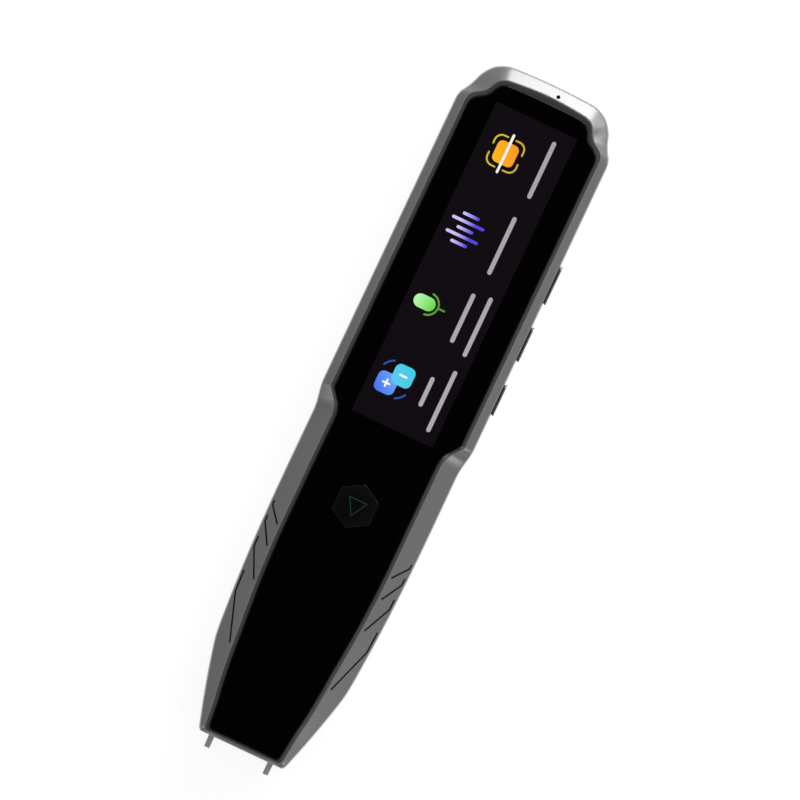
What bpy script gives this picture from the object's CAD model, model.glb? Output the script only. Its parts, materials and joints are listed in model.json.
"""The looks of a scanning pen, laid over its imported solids.

The pen lies on its back. Shapes are worked out in millimetres in the pen's own space: X runs across the
pen with the side buttons at +X, Y along it from the end of the nose, and Z up from the flat of the back.
Each finished mesh is set into the frame, in metres.
"""

import json
import logging
import math
from collections.abc import Iterable, Sequence
from dataclasses import dataclass, field
from enum import Enum
from typing import ClassVar

import bmesh
import bpy
from mathutils import Matrix, Vector
from mathutils.bvhtree import BVHTree


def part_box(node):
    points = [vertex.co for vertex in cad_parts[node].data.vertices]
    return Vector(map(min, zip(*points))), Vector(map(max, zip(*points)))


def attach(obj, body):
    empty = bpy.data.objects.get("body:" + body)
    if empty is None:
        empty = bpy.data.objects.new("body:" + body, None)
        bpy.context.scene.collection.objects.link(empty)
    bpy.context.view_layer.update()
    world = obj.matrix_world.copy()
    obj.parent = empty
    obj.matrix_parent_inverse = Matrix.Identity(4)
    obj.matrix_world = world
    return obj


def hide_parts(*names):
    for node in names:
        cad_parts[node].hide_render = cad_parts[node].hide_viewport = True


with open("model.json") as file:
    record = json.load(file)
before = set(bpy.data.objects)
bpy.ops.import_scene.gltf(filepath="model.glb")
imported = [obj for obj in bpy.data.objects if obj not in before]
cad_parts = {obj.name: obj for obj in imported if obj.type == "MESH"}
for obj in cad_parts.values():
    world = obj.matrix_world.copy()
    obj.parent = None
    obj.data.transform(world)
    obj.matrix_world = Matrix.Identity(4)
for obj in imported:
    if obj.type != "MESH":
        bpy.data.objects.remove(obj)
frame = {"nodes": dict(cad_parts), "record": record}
log = logging.getLogger("scanning_pen")

MM = 0.001

# Clearances in the pen's millimetres: what is glued, what rests on a stop and what slides
GLUE_GAP = 0.1
SEAT_GAP = 0.05
RUN_GAP = 0.2

# How far a cutting tool reaches past what it cuts, how close points are that become one, and from how
# far off a ray looks for the surface
OVERRUN = 1.0
WELD = 0.0001
FAR = 100.0

# Edges with a wider angle than this stay sharp to the eye, and flatter ones than this aren't edges
SMOOTH_ANGLE = math.radians(32)
FLAT_ANGLE = math.radians(0.5)

Point = tuple[float, float]
Colour = tuple[float, float, float]


# Space


@dataclass(frozen=True)
class Box:
    """A box in the pen's millimetres.

    Attributes:
        low: Its lowest corner.
        high: Its highest corner.
    """

    low: Vector
    high: Vector

    @property
    def middle(self) -> Vector:
        """The middle of the box."""
        return (self.low + self.high) / 2

    @property
    def size(self) -> Vector:
        """How far the box reaches along each axis."""
        return self.high - self.low


@dataclass(frozen=True)
class PenSpace:
    """Where the pen's own millimetres lie in the frame.

    Attributes:
        origin: The end of the nose on the centre line, at the flat of the back, in the frame's metres.
        width: The width of the body in millimetres.
        length: The length of the body in millimetres.
    """

    origin: Vector
    width: float
    length: float

    @classmethod
    def of_cover(cls) -> "PenSpace":
        """Reads the space from the rear cover, whose outline is the body's.

        Returns:
            The pen's space.
        """
        low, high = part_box("rear_cover")
        origin = Vector(((low.x + high.x) / 2, low.y, low.z))
        return cls(origin, (high.x - low.x) / MM, (high.y - low.y) / MM)

    @property
    def matrix(self) -> Matrix:
        """The transform from the pen's millimetres to the frame's metres."""
        return Matrix.Translation(self.origin) @ Matrix.Scale(MM, 4)

    def box(self, node: str) -> Box:
        """The box of a CAD node.

        Args:
            node: The node's name.

        Returns:
            Its box in the pen's millimetres.
        """
        back = self.matrix.inverted()
        low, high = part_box(node)
        return Box(back @ low, back @ high)


PEN = PenSpace.of_cover()
HALF_WIDTH = PEN.width / 2


class Facing(Enum):
    """Which way a flat outline is pushed out into a solid."""

    UP = "up"
    ACROSS = "across"

    def place(self, a: float, b: float, depth: float) -> Vector:
        """The point of the pen's space at an outline's coordinates and a depth along the push."""
        return Vector((a, b, depth)) if self is Facing.UP else Vector((depth, a, b))


# Outlines


@dataclass(frozen=True)
class Plan:
    """The right half of an outline, from the centre of the nose to the centre of the top end.

    Attributes:
        points: Its corners in millimetres.
    """

    points: tuple[Point, ...]

    def drawn_in(self, amount: float, nose: float | None = None, top: float | None = None) -> "Plan":
        """Draws the outline in, or lets it out by negative amounts.

        Args:
            amount: How far at the sides.
            nose: How far at the nose, as at the sides where it isn't given.
            top: How far at the top end, as at the sides where it isn't given.

        Returns:
            The new outline.
        """
        near, far = self.points[0][1], self.points[-1][1]
        start = near + (amount if nose is None else nose)
        end = far - (amount if top is None else top)
        stretch = (end - start) / (far - near)
        return Plan(tuple((max(0.0, x - amount) if x else 0.0, start + (y - near) * stretch)
                          for x, y in self.points))

    def toward(self, other: "Plan", share: float) -> "Plan":
        """An outline that lies a share of the way to another one, which has as many corners."""
        pairs = zip(self.points, other.points)
        return Plan(tuple((x + (u - x) * share, y + (v - y) * share) for (x, y), (u, v) in pairs))

    def whole(self) -> list[Vector]:
        """The whole outline, with the left half mirrored from the right.

        Returns:
            Its corners, counterclockwise from the centre of the nose.
        """
        right = [Vector((x, y)) for x, y in self.points]
        left = [Vector((-p.x, p.y)) for p in reversed(right[1:-1])]
        return right + left


@dataclass(frozen=True)
class RingPattern:
    """How a smooth ring runs through the corners of an outline, and how close its points stand.

    Attributes:
        counts: How many points stand on the stretch that begins at each corner.
        straight: How many times longer than its neighbour a stretch is from where it stays straight.
        pull: How many times the length of its neighbour a stretch may bend by.
    """

    counts: tuple[int, ...]
    straight: float = 5.0
    pull: float = 3.0

    @classmethod
    def for_plan(cls, plan: Plan, spacing: float, least: int) -> "RingPattern":
        """Makes the pattern that every ring of a shell shares.

        Args:
            plan: The outline of the shell.
            spacing: The most that two points stand apart, in millimetres.
            least: The fewest points on a stretch.

        Returns:
            The pattern.
        """
        corners = plan.whole()
        after = corners[1:] + corners[:1]
        return cls(tuple(max(least, math.ceil((b - a).length / spacing))
                         for a, b in zip(corners, after)))

    def ring(self, plan: Plan, height: float) -> list[Vector]:
        """Lays the outline out as a ring of points.

        Args:
            plan: The outline.
            height: The height of the ring.

        Returns:
            The ring's points, counterclockwise seen from above.
        """
        corners = plan.whole()
        ways = [b - a for a, b in zip(corners, corners[1:] + corners[:1])]
        headings = [self._heading(ways[i - 1], way) for i, way in enumerate(ways)]
        points: list[Vector] = []
        for i, count in enumerate(self.counts):
            following = (i + 1) % len(ways)
            length = ways[i].length
            start = headings[i] * min(length, self.pull * ways[i - 1].length)
            end = headings[following] * min(length, self.pull * ways[following].length)
            for step in range(count):
                t = step / count
                points.append(corners[i] * (2 * t**3 - 3 * t**2 + 1) + start * (t**3 - 2 * t**2 + t)
                              + corners[following] * (3 * t**2 - 2 * t**3) + end * (t**3 - t**2))
        return [Vector((p.x, p.y, height)) for p in points]

    def _heading(self, before: Vector, after: Vector) -> Vector:
        """The ring's heading at a corner, which is that of a long straight stretch beside it.

        Args:
            before: The way from the corner before.
            after: The way to the corner after.

        Returns:
            The heading, of length one.
        """
        if before.length > self.straight * after.length:
            return before.normalized()
        if after.length > self.straight * before.length:
            return after.normalized()
        return (before + after).normalized()


# Shares of half the body's width and of its length, from the nose centre up the right side to the top
# centre: body across and along, glass across and along
PLAN_SHARES = (
    (0, 0, 0, 0.0077),
    (0.53, 0, 0.417, 0.0077),
    (0.566, 0.0032, 0.459, 0.0103),
    (0.59, 0.0103, 0.474, 0.0173),
    (0.676, 0.0429, 0.5, 0.0455),
    (0.755, 0.0756, 0.541, 0.0763),
    (0.826, 0.1083, 0.572, 0.1083),
    (0.857, 0.125, 0.585, 0.125),
    (0.877, 0.1442, 0.597, 0.1442),
    (0.896, 0.1731, 0.62, 0.1731),
    (0.922, 0.2231, 0.654, 0.2231),
    (0.941, 0.2821, 0.676, 0.2821),
    (0.95, 0.3462, 0.679, 0.3462),
    (0.95, 0.4583, 0.679, 0.4571),
    (0.956, 0.4712, 0.688, 0.4718),
    (0.972, 0.4821, 0.724, 0.4827),
    (0.989, 0.4923, 0.789, 0.492),
    (1, 0.5038, 0.845, 0.5026),
    (1, 0.9282, 0.845, 0.9256),
    (0.981, 0.9391, 0.823, 0.9359),
    (0.937, 0.9474, 0.761, 0.9426),
    (0.892, 0.9577, 0.688, 0.9478),
    (0.84, 0.9731, 0.637, 0.9545),
    (0.742, 0.9878, 0.606, 0.9622),
    (0.635, 0.9949, 0.552, 0.9692),
    (0.524, 0.9981, 0.44, 0.9723),
    (0, 1, 0, 0.9737),
)
BODY_PLAN = Plan(tuple((x * HALF_WIDTH, y * PEN.length) for x, y, _, _ in PLAN_SHARES))
GLASS_PLAN = Plan(tuple((x * HALF_WIDTH, y * PEN.length) for _, _, x, y in PLAN_SHARES))
PATTERN = RingPattern.for_plan(BODY_PLAN, spacing=2.4, least=5)


def edge_rings(before: Sequence[Vector], edge: Sequence[Vector], after: Sequence[Vector],
               reach: float, steps: int) -> list[list[Vector]]:
    """Rounds the edge between two faces of a skin.

    Args:
        before: The ring that the first face starts from.
        edge: The ring of the sharp edge.
        after: The ring that the second face runs to.
        reach: How far the rounding reaches onto each face, up to half of it.
        steps: The steps of the rounding.

    Returns:
        The rings that take the sharp edge's place.
    """
    rings: list[list[Vector]] = [[] for _ in range(steps + 1)]
    for a, b, c in zip(before, edge, after):
        start = b + (a - b) * min(0.5, reach / (a - b).length)
        end = b + (c - b) * min(0.5, reach / (c - b).length)
        for step, ring in enumerate(rings):
            t = step / steps
            ring.append(start * (1 - t) ** 2 + b * (2 * t * (1 - t)) + end * t**2)
    return rings


def arc(x: float, y: float, radius: float, start: float, end: float, steps: int = 8) -> list[Point]:
    """Points along an arc.

    Args:
        x: The arc's centre, first coordinate.
        y: The arc's centre, second coordinate.
        radius: Its radius.
        start: The angle that it starts at, in degrees.
        end: The angle that it ends at, in degrees.
        steps: Its steps.

    Returns:
        The points.
    """
    angles = (math.radians(start + (end - start) * step / steps) for step in range(steps + 1))
    return [(x + radius * math.cos(angle), y + radius * math.sin(angle)) for angle in angles]


def rounded_rectangle(x0: float, x1: float, y0: float, y1: float, radius: float,
                      steps: int = 8) -> list[Point]:
    """The outline of a rectangle with round corners.

    Args:
        x0: Its left side.
        x1: Its right side.
        y0: Its near side.
        y1: Its far side.
        radius: The radius of its corners.
        steps: The steps in each corner.

    Returns:
        The points, counterclockwise.
    """
    corners = ((x1, y0, -90), (x1, y1, 0), (x0, y1, 90), (x0, y0, 180))
    points: list[Point] = []
    for x, y, start in corners:
        cx = x - radius if x == x1 else x + radius
        cy = y - radius if y == y1 else y + radius
        points += arc(cx, cy, radius, start, start + 90, steps)
    return points


def capsule(x: float, y: float, length: float, width: float) -> list[Point]:
    """The outline of a slot with round ends that runs along the first axis.

    Args:
        x: Its middle, first coordinate.
        y: Its middle, second coordinate.
        length: Its length from end to end.
        width: Its width.

    Returns:
        The points, counterclockwise.
    """
    steps = 12
    radius = width / 2
    half = length / 2 - radius
    return arc(x + half, y, radius, -90, 90, steps) + arc(x - half, y, radius, 90, 270, steps)


def turned(outline: Iterable[Point], angle: float, x: float = 0.0, y: float = 0.0) -> list[Point]:
    """An outline turned by an angle in degrees about the origin, then moved along both axes."""
    cos, sin = math.cos(math.radians(angle)), math.sin(math.radians(angle))
    return [(a * cos - b * sin + x, a * sin + b * cos + y) for a, b in outline]


def grown(outline: Sequence[Point], amount: float) -> list[Point]:
    """Lets a counterclockwise outline out evenly, or draws it in by a negative amount.

    Args:
        outline: The outline.
        amount: How far it is let out.

    Returns:
        The new outline.
    """
    sharpest = 0.2  # keeps the point of a very sharp corner near
    corners = [Vector(point) for point in outline]
    moved: list[Point] = []
    for i, corner in enumerate(corners):
        before = (corner - corners[i - 1]).normalized()
        after = (corners[(i + 1) % len(corners)] - corner).normalized()
        normal = Vector((before.y + after.y, -before.x - after.x))
        share = max(normal.length_squared / 2, sharpest)
        moved.append(tuple(corner + normal * (amount / share)))
    return moved


# Finishes


class NodeDesk:
    """Adds nodes to one tree and joins them.

    Attributes:
        COLOUR_MIX: A mixing node's sockets for the share and the two colours.
        COLOUR_RESULT: Its output for the mixed colour.
    """

    COLOUR_MIX: ClassVar[tuple[int, int, int]] = (0, 6, 7)
    COLOUR_RESULT: ClassVar[int] = 2

    def __init__(self, tree: bpy.types.NodeTree) -> None:
        """Starts work on a tree."""
        self.tree = tree

    def add(self, kind: str, inputs: dict[str | int, object] | None = None,
            **settings: object) -> bpy.types.Node:
        """Adds a node.

        Args:
            kind: The node's type.
            inputs: Values of its sockets, or the sockets that feed them.
            **settings: The node's own settings.

        Returns:
            The node.
        """
        node = self.tree.nodes.new(kind)
        for name, value in settings.items():
            setattr(node, name, value)
        for name, value in (inputs or {}).items():
            if isinstance(value, bpy.types.NodeSocket):
                self.tree.links.new(value, node.inputs[name])
            else:
                node.inputs[name].default_value = value
        return node

    def mix(self, share: bpy.types.NodeSocket, first: object, second: object) -> bpy.types.NodeSocket:
        """Mixes two colours.

        Args:
            share: The socket that says how much of the second shows.
            first: The first colour, or its socket.
            second: The second colour, or its socket.

        Returns:
            The mixed colour's socket.
        """
        node = self.add("ShaderNodeMix", data_type="RGBA")
        for index, value in zip(self.COLOUR_MIX, (share, first, second)):
            if isinstance(value, bpy.types.NodeSocket):
                self.tree.links.new(value, node.inputs[index])
            else:
                node.inputs[index].default_value = (*value, 1.0)
        return node.outputs[self.COLOUR_RESULT]

    def maximum(self, first: bpy.types.NodeSocket, second: bpy.types.NodeSocket) -> bpy.types.NodeSocket:
        """The socket of the larger of two values."""
        return self.add("ShaderNodeMath", {0: first, 1: second}, operation="MAXIMUM").outputs["Value"]


class SharedGroup(Enum):
    """The effects that several finishes share, each a group of nodes built once."""

    GRAIN = "fine_grain"
    BRUSHED = "brushed_lines"
    WOVEN = "woven_wire"
    TRACES = "board_traces"

    def tree(self) -> bpy.types.NodeTree:
        """The group's tree, built the first time.

        Returns:
            The tree, with its outputs Value, Mask and Height.
        """
        known = bpy.data.node_groups.get(self.value)
        if known:
            return known
        tree = bpy.data.node_groups.new(self.value, "ShaderNodeTree")
        tree.interface.new_socket("Vector", in_out="INPUT", socket_type="NodeSocketVector")
        for name in ("Clouds", "Detail", "Low", "High"):
            tree.interface.new_socket(name, in_out="INPUT", socket_type="NodeSocketFloat")
        for name in ("Value", "Mask", "Height"):
            tree.interface.new_socket(name, in_out="OUTPUT", socket_type="NodeSocketFloat")
        desk = NodeDesk(tree)
        given = desk.add("NodeGroupInput")
        clouds = desk.add("ShaderNodeTexNoise", {
            "Vector": given.outputs["Vector"], "Scale": given.outputs["Clouds"], "Detail": 4.0,
            "Roughness": 0.55,
        })
        value = desk.add("ShaderNodeMapRange", {
            "Value": clouds.outputs["Fac"], "From Min": 0.2, "From Max": 0.8,
            "To Min": given.outputs["Low"], "To Max": given.outputs["High"],
        })
        fine = self._fine(desk, given)
        result = desk.add("NodeGroupOutput")
        tree.links.new(value.outputs["Result"], result.inputs["Value"])
        tree.links.new(fine, result.inputs["Mask"])
        tree.links.new(fine, result.inputs["Height"])
        return tree

    def _fine(self, desk: NodeDesk, given: bpy.types.Node) -> bpy.types.NodeSocket:
        """The fine part of the effect, which is both its mask and its height.

        Args:
            desk: Where the nodes are added.
            given: The group's input node.

        Returns:
            Its socket.
        """
        vector, detail = given.outputs["Vector"], given.outputs["Detail"]
        if self is SharedGroup.GRAIN:
            speckle = desk.add("ShaderNodeTexNoise", {"Vector": vector, "Scale": detail, "Detail": 2.0})
            return speckle.outputs["Fac"]
        if self is SharedGroup.BRUSHED:
            long = desk.add("ShaderNodeMapping", {"Vector": vector, "Scale": (1.0, 0.02, 1.0)})
            lines = desk.add("ShaderNodeTexNoise", {"Vector": long.outputs["Vector"], "Scale": detail,
                                                    "Detail": 3.0})
            return lines.outputs["Fac"]
        if self is SharedGroup.WOVEN:
            first = desk.add("ShaderNodeTexWave", {"Vector": vector, "Scale": detail}, bands_direction="X")
            second = desk.add("ShaderNodeTexWave", {"Vector": vector, "Scale": detail}, bands_direction="Y")
            return desk.maximum(first.outputs["Fac"], second.outputs["Fac"])
        cells = desk.add("ShaderNodeTexVoronoi", {"Vector": vector, "Scale": detail, "Randomness": 0.7},
                         feature="DISTANCE_TO_EDGE")
        lines = desk.add("ShaderNodeMapRange", {"Value": cells.outputs["Distance"], "From Min": 0.03,
                                                "From Max": 0.06, "To Min": 1.0, "To Max": 0.0})
        return lines.outputs["Result"]


@dataclass(frozen=True)
class Finish:
    """A finish of the pen.

    Attributes:
        name: The material's name.
        colour: Its main colour.
        second: The colour that its pattern mixes in.
        roughness: Its lowest and highest roughness.
        metallic: How metallic it is.
        pattern: The shared effect that varies it.
        clouds: The scale of the slow change of its roughness.
        detail: The scale of its fine pattern.
        relief: The height of its fine pattern, in metres.
        specular: Its specular level.
    """

    name: str
    colour: Colour
    second: Colour
    roughness: tuple[float, float]
    metallic: float = 0.0
    pattern: SharedGroup = SharedGroup.GRAIN
    clouds: float = 60.0
    detail: float = 3000.0
    relief: float = 0.000004
    specular: float = 0.5

    def material(self) -> bpy.types.Material:
        """The finish as a material, built the first time.

        Returns:
            The material.
        """
        known = bpy.data.materials.get(self.name)
        if known:
            return known
        made = bpy.data.materials.new(self.name)
        made.use_nodes = True
        made.node_tree.nodes.clear()
        made.diffuse_color = (*self.colour, 1.0)
        desk = NodeDesk(made.node_tree)
        place = desk.add("ShaderNodeTexCoord")
        effect = desk.add("ShaderNodeGroup", node_tree=self.pattern.tree())
        made.node_tree.links.new(place.outputs["Object"], effect.inputs["Vector"])
        for name, value in (("Clouds", self.clouds), ("Detail", self.detail),
                            ("Low", self.roughness[0]), ("High", self.roughness[1])):
            effect.inputs[name].default_value = value
        bump = desk.add("ShaderNodeBump", {"Height": effect.outputs["Height"], "Distance": self.relief,
                                           "Strength": 1.0})
        shader = desk.add("ShaderNodeBsdfPrincipled", {
            "Base Color": desk.mix(effect.outputs["Mask"], self.colour, self.second),
            "Roughness": effect.outputs["Value"],
            "Normal": bump.outputs["Normal"],
            "Metallic": self.metallic,
            "Specular IOR Level": self.specular,
        })
        desk.add("ShaderNodeOutputMaterial", {"Surface": shader.outputs["BSDF"]})
        return made


@dataclass(frozen=True)
class LitInk:
    """A lit colour on the screen, which may run from one colour to another.

    Attributes:
        name: The material's name.
        near: The colour where the run begins.
        far: The colour where the run ends.
        start: Where the run begins, as a point in the pen's millimetres.
        end: Where the run ends.
    """

    name: str
    near: Colour
    far: Colour
    start: Point
    end: Point

    def material(self) -> bpy.types.Material:
        """The ink as a material.

        Returns:
            The material.
        """
        known = bpy.data.materials.get(self.name)
        if known:
            return known
        made = bpy.data.materials.new(self.name)
        made.use_nodes = True
        made.node_tree.nodes.clear()
        made.diffuse_color = (*self.near, 1.0)
        desk = NodeDesk(made.node_tree)
        place = desk.add("ShaderNodeTexCoord")
        start = PEN.matrix @ Vector((*self.start, 0.0))
        way = (Vector(self.end) - Vector(self.start)) * MM
        axis = way / way.length_squared
        along = desk.add("ShaderNodeVectorMath", {0: place.outputs["Object"], 1: (axis.x, axis.y, 0.0)},
                         operation="DOT_PRODUCT")
        zero = start.xy @ axis
        share = desk.add("ShaderNodeMapRange", {"Value": along.outputs["Value"], "From Min": zero,
                                                "From Max": zero + 1.0})
        colour = desk.mix(share.outputs["Result"], self.near, self.far)
        shader = desk.add("ShaderNodeBsdfPrincipled", {
            "Base Color": (0.0, 0.0, 0.0, 1.0),
            "Roughness": 0.4,
            "Specular IOR Level": 0.1,
            "Emission Color": colour,
            "Emission Strength": 1.0,
        })
        desk.add("ShaderNodeOutputMaterial", {"Surface": shader.outputs["BSDF"]})
        return made


SATIN_GREY = Finish("satin_grey_paint", (0.165, 0.165, 0.17), (0.195, 0.195, 0.2), (0.28, 0.33),
                    metallic=0.4, clouds=45.0, detail=5200.0, relief=0.000003)
GROOVE_SHADE = Finish("groove_shade", (0.06, 0.06, 0.062), (0.075, 0.075, 0.078), (0.45, 0.55),
                      metallic=0.4)
SEAM_BLACK = Finish("seam_shadow", (0.008, 0.008, 0.009), (0.014, 0.014, 0.015), (0.6, 0.75),
                    detail=2600.0)
TRIM_GREY = Finish("trim_dark_satin", (0.027, 0.027, 0.0285), (0.034, 0.034, 0.0355), (0.28, 0.34),
                   detail=4200.0)
BLACK_GLASS = Finish("face_glass", (0.0003, 0.0003, 0.0004), (0.0006, 0.0006, 0.0007), (0.05, 0.08),
                     clouds=30.0, detail=900.0, relief=0.0, specular=0.22)
SCREEN_GLASS = Finish("lit_screen", (0.0056, 0.0036, 0.0056), (0.0066, 0.0044, 0.0066), (0.05, 0.08),
                      clouds=30.0, detail=900.0, relief=0.0, specular=0.22)
KEY_BLACK = Finish("key_satin_black", (0.0016, 0.0016, 0.0018), (0.0026, 0.0026, 0.0028), (0.16, 0.22),
                   detail=3600.0, relief=0.000001, specular=0.2)
PALE_GREY = Finish("guide_pale_grey", (0.35, 0.35, 0.36), (0.43, 0.43, 0.44), (0.38, 0.48),
                   metallic=0.15, detail=3800.0)
WINDOW_BLACK = Finish("window_filter", (0.0015, 0.0015, 0.002), (0.003, 0.003, 0.004), (0.04, 0.08),
                      detail=900.0, relief=0.0, specular=0.4)

# The finishes by the record's slots
SLOT_FINISHES = {
    "satin_grey": SATIN_GREY, "trim_grey": TRIM_GREY, "black_glass": BLACK_GLASS, "screen": SCREEN_GLASS,
    "key_black": KEY_BLACK, "pale_grey": PALE_GREY, "window_black": WINDOW_BLACK,
    "speaker_black": Finish("speaker_black", (0.012, 0.012, 0.013), (0.02, 0.02, 0.021), (0.5, 0.65),
                            detail=2400.0),
    "rubber": Finish("soft_rubber", (0.016, 0.016, 0.017), (0.03, 0.03, 0.031), (0.75, 0.9),
                     detail=1800.0, relief=0.00001),
    "mesh_steel": Finish("woven_blackened", (0.004, 0.004, 0.0045), (0.05, 0.05, 0.053), (0.4, 0.55),
                         metallic=0.6, pattern=SharedGroup.WOVEN, detail=1100.0, relief=0.00003),
    "board_green": Finish("board_mask_green", (0.012, 0.09, 0.035), (0.03, 0.17, 0.07), (0.28, 0.42),
                          pattern=SharedGroup.TRACES, detail=420.0, relief=0.00001),
    "chip_black": Finish("chip_moulding", (0.015, 0.015, 0.017), (0.028, 0.028, 0.03), (0.5, 0.62)),
    "ribbon": Finish("ribbon_film", (0.36, 0.15, 0.03), (0.5, 0.24, 0.06), (0.25, 0.4),
                     pattern=SharedGroup.BRUSHED, detail=1500.0),
    "steel": Finish("bright_steel", (0.5, 0.51, 0.53), (0.62, 0.63, 0.65), (0.22, 0.34), metallic=1.0,
                    pattern=SharedGroup.BRUSHED, relief=0.000002),
    "foil_silver": Finish("tinned_sheet", (0.52, 0.53, 0.54), (0.66, 0.67, 0.68), (0.28, 0.42),
                          metallic=0.9, detail=900.0),
    "cell_foil": Finish("cell_pouch", (0.46, 0.47, 0.48), (0.6, 0.61, 0.62), (0.3, 0.5), metallic=0.7,
                        detail=600.0, relief=0.00003),
    "pale_ceramic": Finish("pale_ceramic", (0.6, 0.58, 0.53), (0.72, 0.7, 0.66), (0.3, 0.4), detail=2200.0),
    "lead_red": Finish("lead_red", (0.38, 0.012, 0.01), (0.5, 0.025, 0.02), (0.4, 0.5), detail=2400.0),
    "lead_black": Finish("lead_black", (0.012, 0.012, 0.012), (0.022, 0.022, 0.022), (0.4, 0.5),
                         detail=2400.0),
    "lamp_white": Finish("lamp_white", (0.75, 0.72, 0.55), (0.85, 0.83, 0.7), (0.2, 0.3), detail=1500.0),
}


# Meshes


class Sculpt:
    """A mesh under way, in the pen's millimetres."""

    def __init__(self, finish: Finish | LitInk = SATIN_GREY) -> None:
        """Starts an empty mesh whose faces have the finish."""
        self.bm = bmesh.new()
        self.materials = [finish.material()]

    @classmethod
    def skin(cls, rings: Sequence[Sequence[Vector]], finish: Finish | LitInk = SATIN_GREY,
             hollow: bool = False) -> "Sculpt":
        """Grows a closed skin from ring to ring.

        Args:
            rings: The rings, with as many points each.
            finish: The finish of the skin.
            hollow: Whether the last ring joins the first, as in a tube bent round, or both are filled.

        Returns:
            The mesh.
        """
        made = cls(finish)
        bm = made.bm
        verts = [bm.verts.new(point) for point in rings[0]]
        edges = [bm.edges.new((verts[i - 1], vert)) for i, vert in enumerate(verts)]
        first = edges
        for ring in rings[1:]:
            grown_parts = bmesh.ops.extrude_edge_only(bm, edges=edges)["geom"]
            fresh = {part for part in grown_parts if isinstance(part, bmesh.types.BMVert)}
            verts = [next(edge.other_vert(vert) for edge in vert.link_edges
                          if edge.other_vert(vert) in fresh) for vert in verts]
            for vert, point in zip(verts, ring):
                vert.co = point
            edges = [part for part in grown_parts if isinstance(part, bmesh.types.BMEdge)
                     and part.verts[0] in fresh and part.verts[1] in fresh]
        if hollow:
            bmesh.ops.bridge_loops(bm, edges=first + edges)
        else:
            bmesh.ops.edgeloop_fill(bm, edges=first)
            bmesh.ops.edgeloop_fill(bm, edges=edges)
        bmesh.ops.recalc_face_normals(bm, faces=bm.faces)
        return made

    @classmethod
    def plate(cls, outline: Sequence[Point], low: float, high: float, finish: Finish | LitInk = SATIN_GREY,
              facing: Facing = Facing.UP, low_edge: float = 0.0, high_edge: float = 0.0,
              edge_steps: int = 1) -> "Sculpt":
        """Pushes a flat outline out into a solid, whose edges may be rounded.

        Args:
            outline: The outline, counterclockwise.
            low: Where the solid begins.
            high: Where it ends.
            finish: Its finish.
            facing: Which way it is pushed.
            low_edge: The rounding of its low edge.
            high_edge: The rounding of its high edge.
            edge_steps: The steps of a rounded edge.

        Returns:
            The mesh.
        """
        turns = [math.radians(90 * step / edge_steps) for step in range(edge_steps + 1)]
        levels = [(low + low_edge * (1 - math.cos(turn)), low_edge * (1 - math.sin(turn)))
                  for turn in (turns if low_edge else turns[-1:])]
        levels += [(high - high_edge * (1 - math.sin(turn)), high_edge * (1 - math.cos(turn)))
                   for turn in (turns if high_edge else turns[:1])]
        rings = [[facing.place(a, b, level) for a, b in (grown(outline, -drawn) if drawn else outline)]
                 for level, drawn in levels]
        return cls.skin(rings, finish)

    @classmethod
    def block(cls, low: Sequence[float], high: Sequence[float], finish: Finish = SATIN_GREY) -> "Sculpt":
        """A plain block, for a cut or for a part out of sight.

        Args:
            low: Its lowest corner.
            high: Its highest corner.
            finish: Its finish.

        Returns:
            The mesh.
        """
        made = cls(finish)
        size = Vector(high) - Vector(low)
        place = Matrix.Translation((Vector(high) + Vector(low)) / 2) @ Matrix.Diagonal((*size, 1.0))
        bmesh.ops.create_cube(made.bm, size=1.0, matrix=place)
        return made

    @classmethod
    def post(cls, x: float, y: float, radius: float, low: float, high: float,
             finish: Finish) -> "Sculpt":
        """An upright round post.

        Args:
            x: Its place across the pen.
            y: Its place along the pen.
            radius: Its radius.
            low: Where it begins.
            high: Where it ends.
            finish: Its finish.

        Returns:
            The mesh.
        """
        made = cls(finish)
        place = Matrix.Translation((x, y, (low + high) / 2))
        bmesh.ops.create_cone(made.bm, cap_ends=True, segments=32, radius1=radius, radius2=radius,
                              depth=high - low, matrix=place)
        return made

    def joined(self, others: Iterable["Sculpt"]) -> "Sculpt":
        """Fuses other meshes to this one, and returns it."""
        return self._combined(others, "UNION")

    def carved(self, tools: Iterable["Sculpt"]) -> "Sculpt":
        """Cuts other meshes out of this one, and returns it; a cut's faces keep the tool's finish."""
        return self._combined(tools, "DIFFERENCE")

    def _combined(self, others: Iterable["Sculpt"], operation: str) -> "Sculpt":
        """Joins or cuts by a boolean modifier whose result becomes the mesh.

        Args:
            others: The other meshes, which are used up.
            operation: The modifier's operation.

        Returns:
            This mesh.
        """
        bench = bpy.data.collections.new("bench")
        bpy.context.scene.collection.children.link(bench)
        spare = [other._on_bench(bench) for other in others]
        work = self._on_bench(bpy.context.scene.collection)
        step = work.modifiers.new("combine", "BOOLEAN")
        step.operation = operation
        step.operand_type = "COLLECTION"
        step.collection = bench
        step.solver = "EXACT"
        step.material_mode = "TRANSFER"
        done = work.evaluated_get(bpy.context.evaluated_depsgraph_get())
        result = bpy.data.meshes.new_from_object(done)
        self.bm = bmesh.new()
        self.bm.from_mesh(result)
        bmesh.ops.remove_doubles(self.bm, verts=self.bm.verts, dist=WELD)
        self.materials = list(result.materials)
        for thing in [work, *spare]:
            data = thing.data
            bpy.data.objects.remove(thing)
            bpy.data.meshes.remove(data)
        bpy.data.meshes.remove(result)
        bpy.data.collections.remove(bench)
        return self

    def _on_bench(self, collection: bpy.types.Collection) -> bpy.types.Object:
        """Puts the mesh into an object in a collection, and lets go of it here.

        Args:
            collection: The collection.

        Returns:
            The object.
        """
        mesh = bpy.data.meshes.new("bench_piece")
        self.bm.to_mesh(mesh)
        self.bm.free()
        for item in self.materials:
            mesh.materials.append(item)
        thing = bpy.data.objects.new("bench_piece", mesh)
        collection.objects.link(thing)
        return thing

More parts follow.
